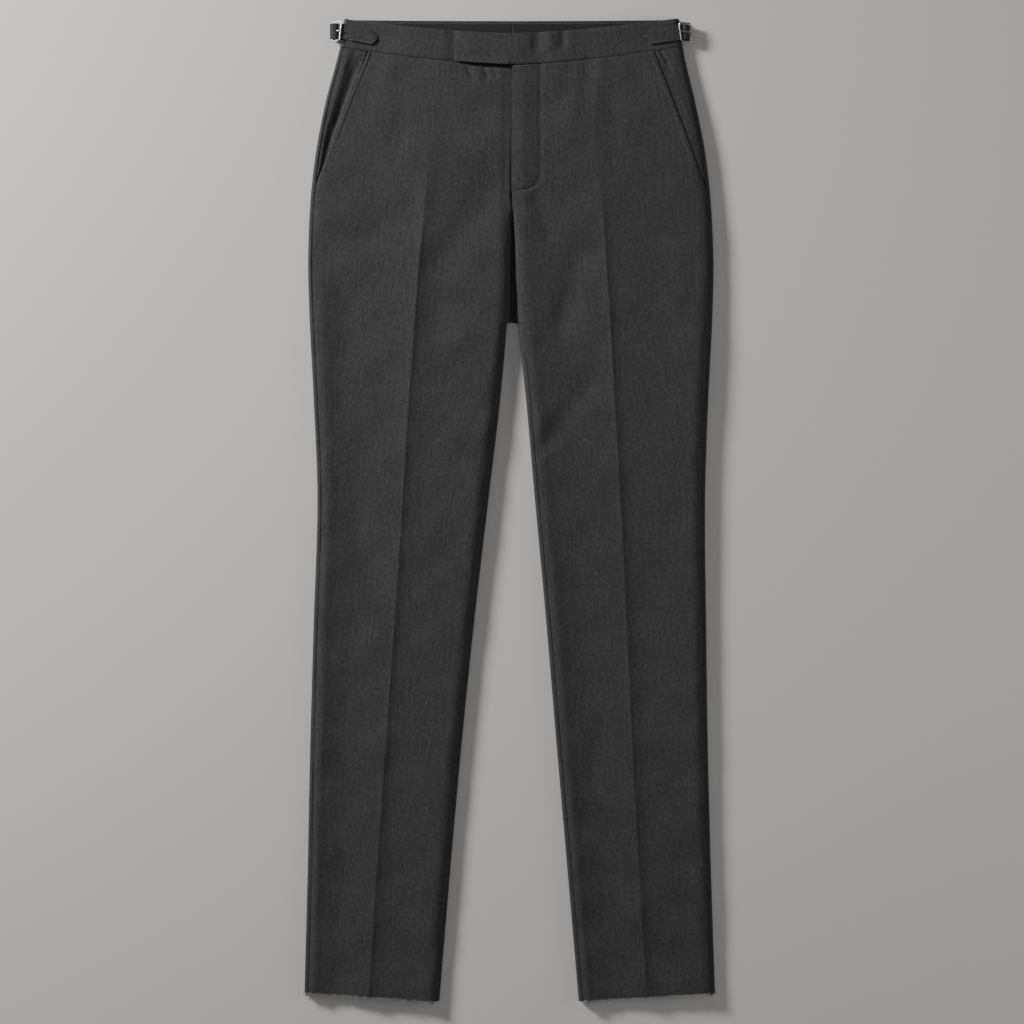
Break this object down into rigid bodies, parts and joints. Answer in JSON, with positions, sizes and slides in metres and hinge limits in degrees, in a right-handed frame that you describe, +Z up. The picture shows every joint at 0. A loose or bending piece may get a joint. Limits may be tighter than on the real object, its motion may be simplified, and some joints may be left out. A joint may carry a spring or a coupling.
{
  "type": "flat-front dress trousers",
  "caption": "Flat-front dress trousers laid flat with the front up: pressed creases, extended tab waistband, side adjusters, slanted pockets and raw hems.",
  "frame": {"origin": "centre of the underside of the garment's box, on the surface that the trousers lie on", "axes": "+Y points from the hems to the waist, +Z up from the surface, +X to the wearer's left"},
  "size_m": [0.4939, 1.1808, 0.0165],
  "materials": {
    "flannel": "charcoal melange wool flannel, softly milled, raw at the hems",
    "band_facing": "dark twill facing inside the back waistband",
    "zip_tape": "woven black zip tape",
    "nickel": "nickel-plated wire, satin bright"
  },
  "bodies": {
    "root": {"front_right": "flannel", "front_left": "flannel", "back_right": "flannel", "back_left": "flannel", "pocket_facing_right": "flannel", "pocket_facing_left": "flannel", "waistband_front_right": "flannel", "waistband_front_left": "flannel", "waistband_back_right": "flannel", "waistband_back_left": "flannel", "waistband_facing_right": "band_facing", "waistband_facing_left": "band_facing", "fly_shield": "flannel", "fly_zip": "zip_tape", "adjuster_strap_right": "flannel", "adjuster_strap_left": "flannel", "adjuster_buckle_right": "nickel", "adjuster_buckle_left": "nickel", "buckle_prong_right": "nickel", "buckle_prong_left": "nickel"}
  },
  "joints": []
}
